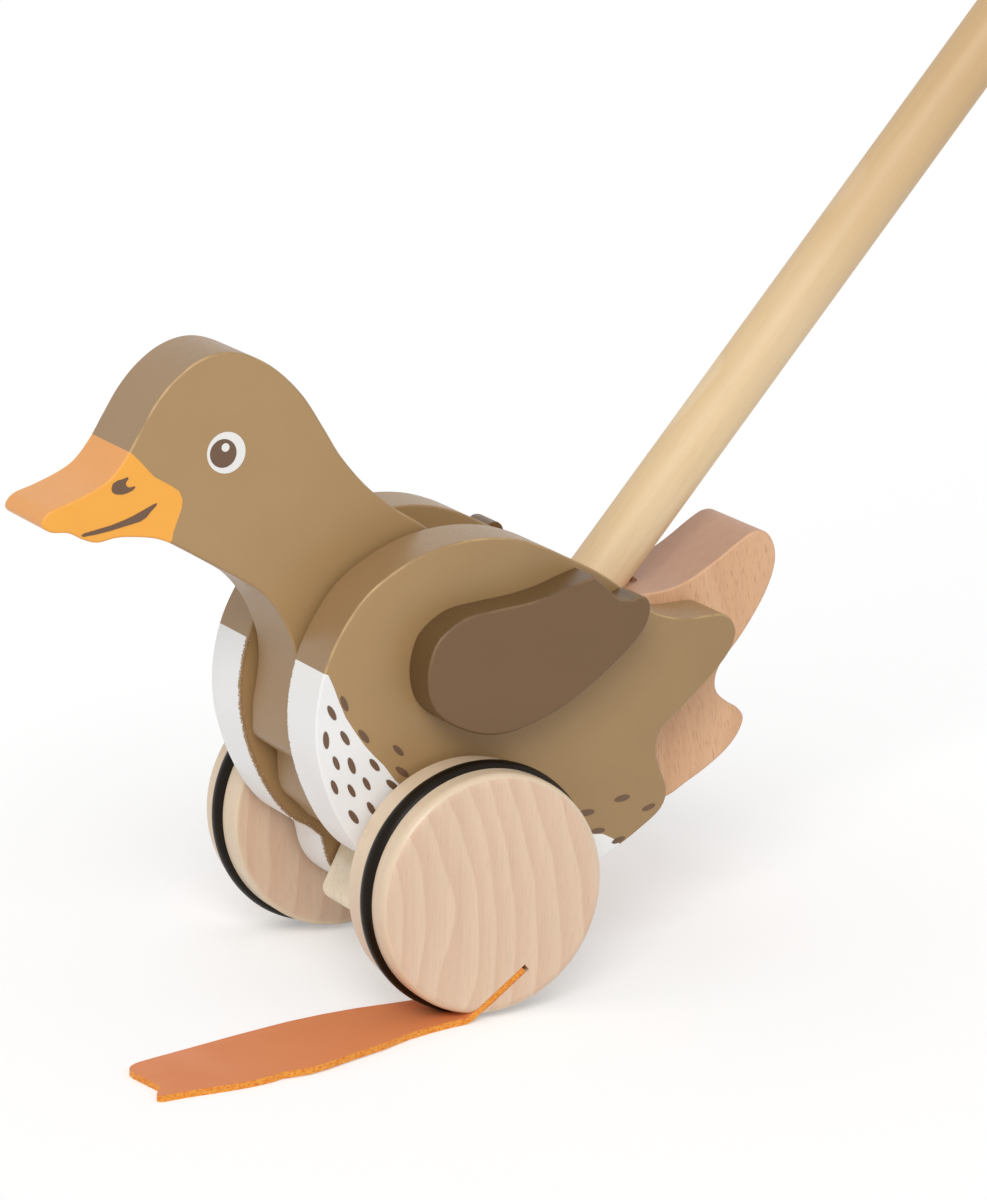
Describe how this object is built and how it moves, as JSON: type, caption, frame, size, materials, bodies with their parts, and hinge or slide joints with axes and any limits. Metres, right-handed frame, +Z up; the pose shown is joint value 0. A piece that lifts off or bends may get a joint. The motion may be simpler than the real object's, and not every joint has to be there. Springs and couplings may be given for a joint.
{
  "type": "duck push toy",
  "caption": "Painted wooden duck push toy with a nodding head, leather feet set in its ring-tyred wheels, and a sloping push rod.",
  "frame": {"origin": "the point of the floor midway between the tyres, below the axle", "axes": "the duck faces -X, its left side is -Y, +Z is up from the floor"},
  "size_m": [0.5188, 0.1576, 0.4847],
  "materials": {
    "body_paint": "matte brown stain-like paint on wood",
    "wing_paint": "matte dark brown paint on wood",
    "tail_wood": "smooth oiled natural beech",
    "rod_wood": "smooth pale dowel",
    "peg_wood": "reddish hardwood peg",
    "dowel_wood": "plain dowel",
    "cam_wood": "pale unpainted wood",
    "wheel_wood": "smooth natural beech",
    "tyre_rubber": "black rubber ring",
    "foot_leather": "orange leather with a fibrous cut edge"
  },
  "bodies": {
    "body": {"left_side_panel": "body_paint", "right_side_panel": "body_paint", "tail_core": "tail_wood", "left_wing": "wing_paint", "right_wing": "wing_paint", "push_rod": "rod_wood", "rod_locking_peg": "peg_wood", "head_pivot_dowel": "dowel_wood", "left_head_washer": "dowel_wood", "right_head_washer": "dowel_wood", "head_stop_dowel": "dowel_wood", "core_dowels": "dowel_wood", "left_wing_dowels": "dowel_wood", "right_wing_dowels": "dowel_wood", "left_axle_washer": "dowel_wood", "right_axle_washer": "dowel_wood"},
    "head": {"head": "body_paint"},
    "wheelset": {"axle": "dowel_wood", "cam": "cam_wood", "left_wheel": "wheel_wood", "right_wheel": "wheel_wood", "left_tyre": "tyre_rubber", "right_tyre": "tyre_rubber", "left_foot_root": "foot_leather", "right_foot_root": "foot_leather"},
    "left_foot": {"left_foot": "foot_leather"},
    "right_foot": {"right_foot": "foot_leather"}
  },
  "joints": [
    {"name": "wheels_spin", "type": "hinge", "parent": "body", "child": "wheelset", "pos_m": [0, 0, 0.038], "axis": [0, -1, 0], "continuous": true, "deforming": ["left_foot", "right_foot"]},
    {"name": "head_nod", "type": "hinge", "parent": "body", "child": "head", "pos_m": [0, 0, 0.113], "axis": [0, 1, 0], "range_deg": [0, 7]},
    {"name": "left_foot_flap", "type": "hinge", "parent": "wheelset", "child": "left_foot", "pos_m": [-0.00642, -0.04835, 0], "axis": [0, -1, 0], "range_deg": [0, 30], "stiffness_Nm_per_rad": 0.03},
    {"name": "right_foot_flap", "type": "hinge", "parent": "wheelset", "child": "right_foot", "pos_m": [0.00642, 0.04835, 0.076], "axis": [0, -1, 0], "range_deg": [0, 30], "stiffness_Nm_per_rad": 0.03}
  ]
}
